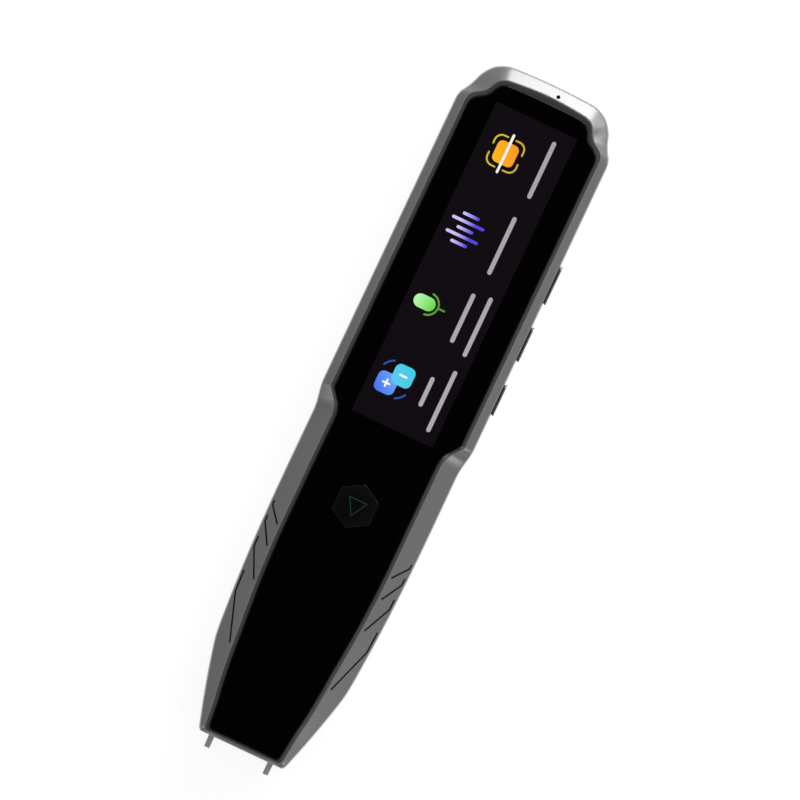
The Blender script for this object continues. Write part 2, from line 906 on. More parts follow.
    def bevelled(self, width: float, segments: int, least_angle: float) -> "Sculpt":
        """Rounds the mesh's sharp edges.

        Args:
            width: The width of the rounding.
            segments: Its segments.
            least_angle: The least angle between two faces that is rounded, in degrees.

        Returns:
            This mesh.
        """
        bmesh.ops.remove_doubles(self.bm, verts=self.bm.verts, dist=WELD)
        bmesh.ops.dissolve_limit(self.bm, angle_limit=FLAT_ANGLE, verts=self.bm.verts, edges=self.bm.edges)
        sharp = [edge for edge in self.bm.edges
                 if len(edge.link_faces) == 2 and edge.calc_face_angle() > math.radians(least_angle)]
        bmesh.ops.bevel(self.bm, geom=sharp, offset=width, offset_type="OFFSET", affect="EDGES",
                        segments=segments, profile=0.5, material=-1, clamp_overlap=True)
        return self

    def tree(self) -> BVHTree:
        """A search tree of the mesh, for finding places on its surface."""
        return BVHTree.FromBMesh(self.bm)

    def stand(self, name: str, body: str, slot: str, replaces: Sequence[str] = ()) -> bpy.types.Object:
        """Sets the mesh into the frame as a finished piece.

        Args:
            name: The piece's name.
            body: The body that it rides on.
            slot: The record's slot of its finish.
            replaces: The CAD nodes that it stands for.

        Returns:
            The piece.
        """
        bmesh.ops.transform(self.bm, matrix=PEN.matrix, verts=self.bm.verts)
        mesh = bpy.data.meshes.new(name)
        self.bm.to_mesh(mesh)
        self.bm.free()
        for item in self.materials:
            mesh.materials.append(item)
        mesh.shade_smooth()
        mesh.set_sharp_from_angle(angle=SMOOTH_ANGLE)
        piece = bpy.data.objects.new(name, mesh)
        bpy.context.scene.collection.objects.link(piece)
        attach(piece, body)
        if replaces:
            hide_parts(*replaces)
        log.info("%s: %d faces, rides on %s", name, len(mesh.polygons), body)
        return piece


@dataclass(frozen=True)
class Groove:
    """A groove that follows a surface.

    Attributes:
        width: Its width at the surface.
        depth: Its depth.
        floor: The width of its floor as a share of its width.
        finish: The finish of its walls.
        spacing: The most that its sections stand apart.
    """

    width: float
    depth: float
    floor: float = 0.9
    finish: Finish = SEAM_BLACK
    spacing: float = 1.0

    def tool(self, surface: BVHTree, path: Sequence[Point], from_above: bool) -> Sculpt:
        """Makes the tool that cuts the groove.

        Args:
            surface: The surface's search tree.
            path: The groove's corners, seen from above.
            from_above: Whether the surface faces up, or down.

        Returns:
            The tool.
        """
        toward = Vector((0, 0, -1 if from_above else 1))
        stops = spaced(path, self.spacing)
        hits = [surface.ray_cast(Vector((x, y, 0)) - toward * FAR, toward)[:2] for x, y in stops]
        rings = []
        for i, (place, normal) in enumerate(hits):
            before = hits[max(i - 1, 0)][0]
            after = hits[min(i + 1, len(hits) - 1)][0]
            side = (after - before).normalized().cross(normal).normalized() * (self.width / 2)
            lift, sink = normal * self.depth, normal * -self.depth
            rings.append([place + lift + side, place + lift - side,
                          place + sink - side * self.floor, place + sink + side * self.floor])
        return Sculpt.skin(rings, self.finish)


def spaced(path: Sequence[Point], spacing: float) -> list[Point]:
    """Points along a path that stand no more than a spacing apart.

    Args:
        path: The path's corners.
        spacing: The most that two points stand apart.

    Returns:
        The points, with all corners among them.
    """
    stops: list[Point] = []
    for (x0, y0), (x1, y1) in zip(path, path[1:]):
        count = max(1, math.ceil(math.hypot(x1 - x0, y1 - y0) / spacing))
        stops += [(x0 + (x1 - x0) * i / count, y0 + (y1 - y0) * i / count) for i in range(count)]
    return stops + [path[-1]]


def both_sides(path: Sequence[Point]) -> list[list[Point]]:
    """A path and its mirror image across the pen's centre line."""
    return [list(path), [(-x, y) for x, y in path]]


# Shells


@dataclass(frozen=True)
class RampCut:
    """A step in the surface: a slanting wall towards the top end and a long ramp back up to the surface.

    Attributes:
        depth: The height of the wall.
        wall: How far the wall slants.
        run: The length of the ramp.
        lift: How far the tool stands out of the surface.
        spacing: The most that its sections stand apart.
        end_share: The share of its depth that it has at either end of its path.
        end_gain: What each section away from an end adds to that share.
    """

    depth: float = 0.19
    wall: float = 0.3
    run: float = 1.7
    lift: float = 0.1
    spacing: float = 0.8
    end_share: float = 0.15
    end_gain: float = 0.45

    def tool(self, surface: BVHTree, path: Sequence[Point]) -> Sculpt:
        """Makes the tool that cuts the step.

        Args:
            surface: The search tree of the surface.
            path: The corners of the step, from its high end on.

        Returns:
            The tool.
        """
        way = (Vector(path[-1]) - Vector(path[0])).normalized()
        uphill = Vector((-way.y, way.x)) if way.x > 0 else Vector((way.y, -way.x))
        stops = spaced(path, self.spacing)
        out = Vector((0, 0, -self.lift))
        rings = []
        for i, stop in enumerate(stops):
            foot = Vector(stop)
            taper = min(1.0, self.end_share + self.end_gain * min(i, len(stops) - 1 - i))
            places = [foot, foot + uphill * self.wall, foot + uphill * self.run]
            low, bottom, high = [surface.ray_cast(Vector((p.x, p.y, -FAR)), Vector((0, 0, 1)))[0]
                                 for p in places]
            rings.append([low + out, low, bottom + Vector((0, 0, self.depth * taper)), high, high + out])
        return Sculpt.skin(rings)


@dataclass(frozen=True)
class WindowPlace:
    """The slanting scan window under the nose and the scoop that it lies in.

    Attributes:
        width: The width of the window.
        slope_length: Its length up the slope.
        thickness: Its thickness.
        tilt: Its slope in degrees.
        low_place: Where its low edge lies along the pen.
        low_level: The height of its low edge.
        rise: How much higher the scoop opens at the nose than the window reaches.
        light_width: The width of the way for the light behind the window.
        light_near: Where that way begins along the pen.
        light_wall: The wall between that way and the way of the scan guide.
    """

    width: float = 12.1
    slope_length: float = 3.7
    thickness: float = 0.7
    tilt: float = 38.4
    low_place: float = 5.2
    low_level: float = 1.0
    rise: float = 0.6
    light_width: float = 10.4
    light_near: float = 3.2
    light_wall: float = 0.6

    def point(self, along: float, deep: float) -> Point:
        """A point of the window's section.

        Args:
            along: How far up its outer face.
            deep: How deep behind that face.

        Returns:
            The point, along the pen and up.
        """
        angle = math.radians(self.tilt)
        return (self.low_place - along * math.cos(angle) + deep * math.sin(angle),
                self.low_level + along * math.sin(angle) + deep * math.cos(angle))

    def tools(self, top: float) -> list[Sculpt]:
        """The scoop and the way for the light behind it.

        Args:
            top: The height of the shell's edge.

        Returns:
            The tools that cut them.
        """
        half = self.width / 2 + GLUE_GAP
        back = self.thickness + GLUE_GAP
        bar_low = ScanGuide.bar[0]
        low_y, low_z = self.point(0, back)
        end = self.slope_length + GLUE_GAP
        section = [
            (-OVERRUN, -OVERRUN), (bar_low, -OVERRUN), (bar_low, low_z),
            (min(low_y, bar_low - GLUE_GAP), low_z), self.point(end, back), self.point(end, 0),
            (-OVERRUN, self.point(self.slope_length, 0)[1] + self.rise),
        ]
        floor = PEN.box("scan_guide").high.z + RUN_GAP + self.light_wall
        light = Sculpt.block((-self.light_width / 2, self.light_near, floor),
                             (self.light_width / 2, RearShell.nose_block[0] + OVERRUN, top), SEAM_BLACK)
        return [Sculpt.plate(section, -half, half, facing=Facing.ACROSS), light]


@dataclass
class RearShell:
    """The crowned rear shell with its grille, its lines and the seat of the scan head.

    Attributes:
        wall: The thickness of the wall.
        top: The height of its edge, at the part line.
        edge: The rounding of that edge.
        crown_height: The height of the crowned back.
        flat_share: The share of the plan's width that lies flat.
        nose_round: How far the crown draws in at the nose.
        top_slope: How far the crown draws in at the top end.
        crown_steps: The steps of the crown.
        grille_from_top: How far the middle of the loudspeaker's panel lies from the top end.
        grille_width: The panel's width over its two points.
        grille_length: Its length along the pen.
        grille_edge: The length of the two edges that lie across the pen.
        grille_depth: How deep it lies.
        grille_bevel: How far its walls slant.
        slot_width: The width of the loudspeaker's slots.
        slot_mouth: How much wider they are at their mouths.
        slots: Where the slots of one half begin and end, from the middle, and which way they point.
        port_mouth: How much wider the charging port's opening is at its mouth.
        nose_block: How long and how high the nose is full.
        window_slot: The place of the scan window.
        seam_cut: The groove of the long seams.
        feather_cut: The groove of the feathers.
        dash_cut: The groove of the dashes.
        ramp: The corners of the slanting step under the panel.
        seam: The corners of the long seam.
        dash_across: How far from the centre line the dashes lie.
        dashes: Where they begin and end along the pen.
        feathers: Where the feathers begin and end.
    """

    wall: float = 1.5
    top: float = 6.55
    edge: float = 0.15
    crown_height: float = 5.4
    flat_share: float = 0.58
    nose_round: float = 1.0
    top_slope: float = 3.2
    crown_steps: int = 14
    grille_from_top: float = 16.8
    grille_width: float = 22.2
    grille_length: float = 15.4
    grille_edge: float = 7.6
    grille_depth: float = 0.22
    grille_bevel: float = 0.35
    slot_width: float = 0.8
    slot_mouth: float = 0.1
    slots: tuple[tuple[float, float, float], ...] = (
        (1.3, 8.7, 0), (1.8, 6.3, 90), (3.75, 6.85, 43), (3.75, 6.85, -43),
    )
    port_mouth: float = 0.35
    nose_block: tuple[float, float] = (11.0, 5.0)
    window_slot: WindowPlace = field(default_factory=WindowPlace)
    seam_cut: Groove = Groove(0.16, 0.07, 0.3, SATIN_GREY)
    feather_cut: Groove = Groove(0.14, 0.05, 0.3, SATIN_GREY, 0.5)
    dash_cut: Groove = Groove(0.4, 0.1, 0.75, GROOVE_SHADE, 0.5)
    ramp: tuple[Point, ...] = ((15.2, 125.7), (14.3, 125.6), (5.2, 117.4))
    seam: tuple[Point, ...] = ((5.3, 117.2), (5.3, 84.0))
    dash_across: float = 13.5
    dashes: tuple[Point, ...] = (
        (119.4, 121.6), (113.1, 115.4), (106.8, 109.0), (100.2, 102.5), (90.3, 96.2),
    )
    feathers: tuple[tuple[Point, Point], ...] = (
        ((12.2, 111.5), (7.6, 107.5)), ((12.2, 105.2), (7.6, 101.2)), ((12.2, 99.0), (7.6, 95.0)),
    )

    def crown_ring(self, step: int, wall: float) -> list[Vector]:
        """One ring of the crowned back.

        Args:
            step: The step of the crown, from the flat upwards.
            wall: How far inside the outer face the ring lies.

        Returns:
            The ring.
        """
        angle = math.pi / 2 * step / self.crown_steps
        drawn = 1 - math.sin(angle)
        crown = Plan(tuple((x * (1 - (1 - self.flat_share) * drawn), y) for x, y in BODY_PLAN.points))
        crown = crown.drawn_in(0.0, nose=self.nose_round * drawn, top=self.top_slope * drawn)
        run = HALF_WIDTH * (1 - self.flat_share)
        size = math.hypot(self.crown_height * math.sin(angle), run * math.cos(angle))
        inward = wall * self.crown_height * math.sin(angle) / size
        raised = wall * run * math.cos(angle) / size
        return PATTERN.ring(crown.drawn_in(inward), self.crown_height * (1 - math.cos(angle)) + raised)

    def outside(self) -> Sculpt:
        """The crowned shell as a full body, without any hollow or hole.

        Returns:
            The mesh.
        """
        rings = [self.crown_ring(step, 0.0) for step in range(self.crown_steps + 1)]
        rings.append(PATTERN.ring(BODY_PLAN, self.top - self.edge))
        rings.append(PATTERN.ring(BODY_PLAN.drawn_in(self.edge), self.top))
        return Sculpt.skin(rings)

    def hollow(self) -> Sculpt:
        """The room inside the shell, short of the full nose.

        Returns:
            The tool that cuts it.
        """
        rings = [self.crown_ring(step, self.wall) for step in range(0, self.crown_steps + 1, 2)]
        rings.append(PATTERN.ring(BODY_PLAN.drawn_in(self.wall), self.top + OVERRUN))
        length, height = self.nose_block
        nose = Sculpt.block((-HALF_WIDTH, -OVERRUN, -OVERRUN), (HALF_WIDTH, length, height))
        return Sculpt.skin(rings).carved([nose])

    def grille_tools(self) -> list[Sculpt]:
        """The six-sided panel over the loudspeaker and its eight slots.

        Returns:
            The tools that cut them.
        """
        middle = PEN.length - self.grille_from_top
        half, reach, flat = self.grille_width / 2, self.grille_length / 2, self.grille_edge / 2
        panel = [(half, 0), (flat, reach), (-flat, reach), (-half, 0), (-flat, -reach), (flat, -reach)]
        panel = turned(panel, 0, 0, middle)
        tools = [Sculpt.skin([
            [Vector((x, y, -self.grille_depth)) for x, y in grown(panel, self.grille_bevel)],
            [Vector((x, y, self.grille_depth)) for x, y in grown(panel, -self.grille_bevel)],
        ])]
        floor = self.grille_depth
        for start, end, angle in self.slots:
            for turn in (0, 180):
                slot = capsule((start + end) / 2, 0, end - start, self.slot_width)
                slot = turned(slot, angle + turn, 0, middle)
                mouth = grown(slot, self.slot_mouth)
                levels = ((mouth, -OVERRUN), (mouth, floor), (slot, floor + self.slot_mouth),
                          (slot, self.wall + OVERRUN))
                rings = [[Vector((x, y, z)) for x, y in outline] for outline, z in levels]
                tools.append(Sculpt.skin(rings, SEAM_BLACK))
        return tools

    def line_tools(self, surface: BVHTree) -> list[Sculpt]:
        """The lines of the grip panels: a bright slanting step, fine seams, dashes and feathers.

        Args:
            surface: The search tree of the shell's outer face.

        Returns:
            The tools that cut them.
        """
        tools = [RampCut().tool(surface, path) for path in both_sides(self.ramp)]
        tools += [self.seam_cut.tool(surface, path, False) for path in both_sides(self.seam)]
        for near, far in self.dashes:
            dash = [(self.dash_across, near), (self.dash_across, far)]
            tools += [self.dash_cut.tool(surface, path, False) for path in both_sides(dash)]
        for feather in self.feathers:
            tools += [self.feather_cut.tool(surface, path, False) for path in both_sides(feather)]
        return tools

    def guide_tools(self) -> list[Sculpt]:
        """The way of the scan guide, open at the back and at the nose.

        Returns:
            The tools that cut it.
        """
        guide = PEN.box("scan_guide")
        half = guide.high.x + RUN_GAP
        leg = guide.high.x - ScanGuide.leg - RUN_GAP
        ceiling = guide.high.z + RUN_GAP
        bar_low, bar_high = ScanGuide.bar
        corner = ScanGuide.corner + RUN_GAP
        pocket = [(-half, bar_low - RUN_GAP), (half, bar_low - RUN_GAP)]
        pocket += arc(half - corner, bar_high + SEAT_GAP - corner, corner, 0, 90)
        pocket += arc(-half + corner, bar_high + SEAT_GAP - corner, corner, 90, 180)
        under = bar_high + ScanGuide.travel + RUN_GAP
        return [
            Sculpt.plate(pocket, -OVERRUN, ceiling),
            Sculpt.block((-half, bar_low, ScanGuide.lip), (half, under, ceiling)),
            Sculpt.block((leg, -OVERRUN, -OVERRUN), (half, bar_high - corner, ceiling)),
            Sculpt.block((-half, -OVERRUN, -OVERRUN), (-leg, bar_high - corner, ceiling)),
        ]

    def build(self) -> None:
        """Builds the shell and sets it into the frame."""
        outside = self.outside()
        surface = outside.tree()
        port = PEN.box("charging_port")
        gap = RUN_GAP * 2
        opening = capsule(port.middle.y, port.middle.z, port.size.y + gap, port.size.z + gap)
        mouth = grown(opening, self.port_mouth)
        side = -HALF_WIDTH
        levels = ((mouth, side - OVERRUN), (mouth, side), (opening, side + self.port_mouth),
                  (opening, side + port.size.x / 2))
        port_way = Sculpt.skin([[Vector((x, y, z)) for y, z in outline] for outline, x in levels])
        tools = [self.hollow(), *self.grille_tools(), *self.line_tools(surface), *self.guide_tools(),
                 *self.window_slot.tools(self.top), port_way]
        outside.carved(tools).stand("rear_shell", "body", "satin_grey", ["rear_cover"])


@dataclass
class FrontShell:
    """The front shell: its drafted sides, its slopes round the face and the cuts in them.

    Attributes:
        edge: The rounding of its edge at the part line.
        slope: How steeply the slopes round the face fall, in degrees.
        draft: How far the sides lean in below the slopes.
        lip: How far the slope's top edge stands outside the bezel's seat.
        shoulder_round: The rounding of the shoulder edge.
        top_round: The rounding of the top edge.
        wall: The thickness of the side wall.
        plate_bottom: The height of the underside of the plate round the face.
        ceiling_drop: How far below that the walls of the hollow begin to lean in.
        hollow_draft: How far they have leant in there.
        ceiling_share: The share of the way to the bezel that the hollow's ceiling draws in.
        ceiling_wall: How far inside that it ends.
        microphone: The microphone hole's place across, its distance from the top end and its radius.
        button_inner: How far from the centre line the slots of the side buttons begin.
        display_gap: The gap round the display.
        display_corner: The corner radius of the display's opening.
        chevron_cut: The groove of the chevrons.
        chevrons: The corners of the right side's four.
    """

    edge: float = 0.15
    slope: float = 32.0
    draft: float = 0.2
    lip: float = 0.2
    shoulder_round: float = 0.3
    top_round: float = 0.3
    wall: float = 1.5
    plate_bottom: float = 10.6
    ceiling_drop: float = 1.4
    hollow_draft: float = 0.8
    ceiling_share: float = 0.25
    ceiling_wall: float = 2.0
    microphone: tuple[float, float, float] = (2.0, 2.0, 0.42)
    button_inner: float = 15.3
    display_gap: float = 0.3
    display_corner: float = 0.5
    chevron_cut: Groove = Groove(0.44, 0.42, 0.9, SEAM_BLACK, 0.6)
    chevrons: tuple[tuple[Point, Point, Point], ...] = (
        ((16.1, 51.0), (16.05, 50.0), (13.35, 46.6)),
        ((16.05, 47.6), (16.0, 46.1), (13.4, 41.6)),
        ((15.95, 42.7), (15.85, 40.3), (12.95, 34.0)),
        ((15.65, 34.9), (15.4, 30.1), (11.85, 19.7)),
    )

    def shoulder(self) -> list[Vector]:
        """The edge between side and slope, which lies lower where the slope is wider.

        Returns:
            The ring of its points.
        """
        crest = PATTERN.ring(FaceBezel.outer_plan(self.lip), PEN.box("front_frame").high.z)
        plan = PATTERN.ring(BODY_PLAN.drawn_in(self.draft), 0.0)
        fall = math.tan(math.radians(self.slope))
        return [Vector((p.x, p.y, top.z - (p.xy - top.xy).length * fall)) for p, top in zip(plan, crest)]

    def outside(self) -> Sculpt:
        """The shell as a full body, without any hollow or hole.

        Returns:
            The mesh.
        """
        box = PEN.box("front_frame")
        low, top = box.low.z, box.high.z
        foot = PATTERN.ring(BODY_PLAN.drawn_in(self.edge), low)
        side = PATTERN.ring(BODY_PLAN, low + self.edge)
        shoulder = self.shoulder()
        crest = PATTERN.ring(FaceBezel.outer_plan(self.lip), top)
        inner = PATTERN.ring(FaceBezel.outer_plan(0.0), top)
        lower = edge_rings(side, shoulder, crest, self.shoulder_round, 5)
        upper = edge_rings(shoulder, crest, inner, self.top_round, 3)
        halfway = [a.lerp(b, 0.5) for a, b in zip(lower[-1], upper[0])]
        return Sculpt.skin([foot, side, *lower, halfway, *upper])

    def hollow(self) -> Sculpt:
        """The room inside the shell, below its face.

        Returns:
            The tool that cuts it.
        """
        low = PEN.box("front_frame").low.z
        shoulder_plan = BODY_PLAN.drawn_in(self.hollow_draft)
        ceiling = shoulder_plan.toward(FaceBezel.outer_plan(self.lip), self.ceiling_share)
        ceiling = ceiling.drawn_in(self.ceiling_wall)
        return Sculpt.skin([
            PATTERN.ring(BODY_PLAN.drawn_in(self.wall), low - OVERRUN),
            PATTERN.ring(BODY_PLAN.drawn_in(self.wall), low),
            PATTERN.ring(shoulder_plan.drawn_in(self.wall), self.plate_bottom - self.ceiling_drop),
            PATTERN.ring(ceiling, self.plate_bottom),
        ])

    def face_tools(self) -> list[Sculpt]:
        """The seats of the glass and of the bezel, and the holes for display, key and microphone.

        Returns:
            The tools that cut them.
        """
        glass, bezel = PEN.box("cover_glass"), PEN.box("bezel_ring")
        display, key = PEN.box("display_panel"), PEN.box("home_key")
        over = glass.high.z + OVERRUN
        seat = PATTERN.ring(GLASS_PLAN.drawn_in(-GLUE_GAP), glass.low.z - GLUE_GAP)
        seat_top = [Vector((p.x, p.y, over)) for p in seat]
        outer = PATTERN.ring(FaceBezel.outer_plan(0.0), bezel.low.z - GLUE_GAP)
        inner = PATTERN.ring(GLASS_PLAN.drawn_in(-GLUE_GAP), bezel.low.z - GLUE_GAP)
        raised = [[Vector((p.x, p.y, over)) for p in ring] for ring in (outer, inner)]
        channel = Sculpt.skin([inner, outer, *raised], SEAM_BLACK, hollow=True)
        x, y, radius = self.microphone
        hole = Sculpt.post(x, PEN.length - y, radius, self.plate_bottom - OVERRUN * 2, over, SEAM_BLACK)
        key_way = HomeKey.hexagon(key.middle.x, key.middle.y, key.size.y / 2 + RUN_GAP)
        gap = self.display_gap
        wide = rounded_rectangle(display.low.x - gap, display.high.x + gap, display.low.y - gap,
                                 display.high.y + gap, self.display_corner, 3)
        return [
            Sculpt.skin([seat, seat_top], SEAM_BLACK),
            channel,
            hole,
            Sculpt.plate(wide, self.plate_bottom - OVERRUN, over, SEAM_BLACK),
            Sculpt.plate(key_way, self.plate_bottom - OVERRUN, over, SEAM_BLACK),
        ]

    def button_tools(self) -> list[Sculpt]:
        """The slots of the side buttons and the pockets for the flanges behind them.

        Returns:
            The tools that cut them.
        """
        tools = []
        for node in SideButton.nodes:
            box = PEN.box(node)
            cap_length = box.size.y - SideButton.flange * 2
            cap_height = box.size.z - SideButton.flange * 2
            gap = RUN_GAP * 2
            slot = capsule(box.middle.y, box.middle.z, cap_length + gap, cap_height + gap)
            pocket = grown(slot, SideButton.flange)
            face = HALF_WIDTH - SideButton.pocket_wall
            inner = self.button_inner
            tools.append(Sculpt.plate(slot, inner, HALF_WIDTH + OVERRUN, SEAM_BLACK, Facing.ACROSS))
            tools.append(Sculpt.plate(pocket, inner - OVERRUN, face, SEAM_BLACK, Facing.ACROSS))
        return tools

    def chevron_tools(self, surface: BVHTree) -> list[Sculpt]:
        """The tools that cut the slanting grooves beside the grip into the shell's outer face."""
        return [self.chevron_cut.tool(surface, path, True)
                for chevron in self.chevrons for path in both_sides(chevron)]

    def build(self) -> None:
        """Builds the shell and sets it into the frame."""
        outside = self.outside()
        surface = outside.tree()
        outside.carved([self.hollow(), *self.face_tools()])
        outside.carved([*self.button_tools(), *self.chevron_tools(surface)])
        outside.stand("front_shell", "body", "satin_grey", ["front_frame"])


# Face


@dataclass
class FaceBezel:
    """The dark rim between the slopes and the glass.

    Attributes:
        width: How far it stands outside the glass.
        nose_width: How far it stands outside the glass at the nose.
        top_rise: How much further it reaches in the middle of the top end.
        rise_half: How far from the centre line that rise ends.
        round: The rounding of its outer edge.
        dip: How far it slopes down towards the glass at the top end.
        tilt: How far it slopes down towards the shell elsewhere.
        blend: The stretch along the pen in which the one slope turns into the other.
        nose_least: The share of the slope of the sides that it has at the nose.
        nose_flat: How far from the nose that share begins to grow.
        gap: The fine gap on either side of it.
    """

    width: float = 0.65
    nose_width: float = 0.27
    top_rise: float = 0.6
    rise_half: float = 11.0
    round: float = 0.08
    dip: float = 0.12
    tilt: float = 0.26
    blend: float = 8.0
    nose_least: float = 0.2
    nose_flat: float = 1.0
    gap: float = 0.04

    @classmethod
    def outer_plan(cls, margin: float) -> Plan:
        """The bezel's outer outline, which rises above the glass at the top end.

        Args:
            margin: How far it is let out.

        Returns:
            The outline.
        """
        even = GLASS_PLAN.drawn_in(-cls.width - margin, nose=-cls.nose_width - margin)
        return Plan(tuple((x, y + (cls.top_rise * max(0.0, 1 - (x / cls.rise_half) ** 2)
                                   if y > PEN.length / 2 else 0.0)) for x, y in even.points))

    def build(self) -> None:
        """Builds the rim and sets it into the frame."""
        box = PEN.box("bezel_ring")
        outer = self.outer_plan(-self.gap)
        inner = GLASS_PLAN.drawn_in(-self.gap)
        foot = PATTERN.ring(outer, box.low.z)
        crest = [Vector((p.x, p.y, p.z - self.tilt * self._side_share(p.y) * self._nose_share(p.y)))
                 for p in PATTERN.ring(outer, box.high.z)]
        edge = [Vector((p.x, p.y, p.z - self.dip * (1 - self._side_share(p.y))))
                for p in PATTERN.ring(inner, box.high.z)]
        rings = [foot, *edge_rings(foot, crest, edge, self.round, 4), edge, PATTERN.ring(inner, box.low.z)]
        Sculpt.skin(rings, TRIM_GREY, hollow=True).stand("face_bezel", "body", "trim_grey", ["bezel_ring"])

    def _side_share(self, y: float) -> float:
        """How fully a place has the slope of the sides, which is 0 at the top end of the glass."""
        return min(1.0, max(0.0, (GLASS_PLAN.points[-1][1] - y) / self.blend))

    def _nose_share(self, y: float) -> float:
        """How fully a place has that slope near the nose, where the rim lies almost flat."""
        return min(1.0, self.nose_least + max(0.0, y - self.nose_flat) / self.blend)


@dataclass
class FaceGlass:
    """The black glass with its rounded edge, the hole for the key and the lit area of the screen.

    Attributes:
        round: The rounding of its upper edge.
        rim: How far inside its edge the rounding may look for the upper face.
        mouth: The bevel round the hole for the key.
        screen: The lit area: how far it reaches to each side, and its two ends along the pen.
        upper: How near the upper face a face of the lit area lies.
    """

    round: float = 0.3
    rim: float = 1.0
    mouth: float = 0.08
    screen: tuple[float, float, float] = (9.47, 75.3, 147.6)
    upper: float = 0.01

    def build(self) -> None:
        """Builds the glass and sets it into the frame."""
        box, key = PEN.box("cover_glass"), PEN.box("home_key")
        foot = PATTERN.ring(GLASS_PLAN, box.low.z)
        crest = PATTERN.ring(GLASS_PLAN, box.high.z)
        inside = PATTERN.ring(GLASS_PLAN.drawn_in(self.rim), box.high.z)
        glass = Sculpt.skin([foot, *edge_rings(foot, crest, inside, self.round, 4)], BLACK_GLASS)
        hole = HomeKey.hexagon(key.middle.x, key.middle.y, key.size.y / 2 - HomeKey.flange + RUN_GAP)
        glass.carved([Sculpt.skin([
            [Vector((x, y, box.low.z - OVERRUN)) for x, y in hole],
            [Vector((x, y, box.high.z - self.mouth)) for x, y in hole],
            [Vector((x, y, box.high.z + self.mouth)) for x, y in grown(hole, self.mouth * 2)],
        ], BLACK_GLASS)])
        self._light_screen(glass, box.high.z)
        glass.stand("face_glass", "body", "black_glass", ["cover_glass"])

    def _light_screen(self, glass: Sculpt, level: float) -> None:
        """Parts the lit area off from the glass's upper face.

        Args:
            glass: The glass.
            level: The height of its upper face.
        """
        half, low, high = self.screen
        bm = glass.bm
        for place, normal in (((half, 0, 0), (1, 0, 0)), ((-half, 0, 0), (1, 0, 0)),
                              ((0, low, 0), (0, 1, 0)), ((0, high, 0), (0, 1, 0))):
            bmesh.ops.bisect_plane(bm, geom=[*bm.verts, *bm.edges, *bm.faces], plane_co=place,
                                   plane_no=normal)
        glass.materials.append(SCREEN_GLASS.material())
        lit = len(glass.materials) - 1
        for face in bm.faces:
            middle = face.calc_center_median()
            if abs(middle.x) < half and low < middle.y < high and middle.z > level - self.upper:
                face.material_index = lit


@dataclass
class HomeKey:
    """The six-sided home key with its lit triangle.

    Attributes:
        flange: How far its flange stands out under the glass.
        flange_drop: How far below the glass the flange lies.
        flange_thickness: The flange's thickness.
        flange_round: The rounding of its edges.
        stem_radius: The radius of the stem that presses the switch.
        corner_share: The rounding of its corners as a share of its radius.
        round: The rounding of its upper edge.
        mark_width: The width of the triangle's line.
        mark_rise: How far that line stands proud.
        mark: The triangle's corners.
    """

    flange: float = 0.7
    flange_drop: float = 0.3
    flange_thickness: float = 0.8
    flange_round: float = 0.1
    stem_radius: float = 1.6
    corner_share: float = 0.16
    round: float = 0.16
    mark_width: float = 0.16
    mark_rise: float = 0.012
    mark: tuple[Point, Point, Point] = ((-2.15, 1.45), (2.15, 1.45), (0.0, -2.45))

    @classmethod
    def hexagon(cls, x: float, y: float, radius: float) -> list[Point]:
        """A six-sided outline with its points along the pen and its corners rounded.

        Args:
            x: Its middle across the pen.
            y: Its middle along the pen.
            radius: How far its rounded corners reach.

        Returns:
            The outline.
        """
        corner = radius * cls.corner_share
        centre = radius - corner / math.cos(math.pi / 6)
        points: list[Point] = []
        for side in range(6):
            middle = 90 + side * 60
            angle = math.radians(middle)
            points += arc(x + centre * math.cos(angle), y + centre * math.sin(angle), corner,
                          middle - 30, middle + 30, 5)
        return points

    def build(self) -> None:
        """Builds the key and its mark, and sets them into the frame."""
        box = PEN.box("home_key")
        x, y = box.middle.x, box.middle.y
        radius = box.size.y / 2 - self.flange
        glass = PEN.box("cover_glass")
        flange_top = glass.low.z - self.flange_drop
        flange_low = flange_top - self.flange_thickness
        cap_top = box.high.z - self.mark_rise
        cap = Sculpt.plate(self.hexagon(x, y, radius), flange_low, cap_top, KEY_BLACK, high_edge=self.round,
                           edge_steps=4)
        flange = Sculpt.plate(self.hexagon(x, y, radius + self.flange), flange_low, flange_top, KEY_BLACK,
                              low_edge=self.flange_round, high_edge=self.flange_round)
        stem = Sculpt.post(x, y, self.stem_radius, box.low.z, flange_top, KEY_BLACK)
        cap.joined([flange, stem]).stand("home_key_cap", "key", "key_black", ["home_key"])
        self._mark(x, y, box.high.z).stand("key_mark", "key", "screen")

    def _mark(self, x: float, y: float, level: float) -> Sculpt:
        """The outlined triangle, printed into the top of the key.

        Args:
            x: The key's middle across the pen.
            y: The key's middle along the pen.
            level: The height of the mark's top.

        Returns:
            The mark.
        """
        teal = LitInk("teal_mark", (0.014, 0.046, 0.052), (0.01, 0.03, 0.036), (x, y + 2), (x, y - 2))
        low = level - self.mark_rise * 2
        outer = [(x + a, y + b) for a, b in reversed(self.mark)]
        inner = grown(outer, -self.mark_width)
        rings = [[Vector((u, v, z)) for u, v in shape]
                 for shape, z in ((outer, low), (outer, level), (inner, level), (inner, low))]
        return Sculpt.skin(rings, teal, hollow=True)


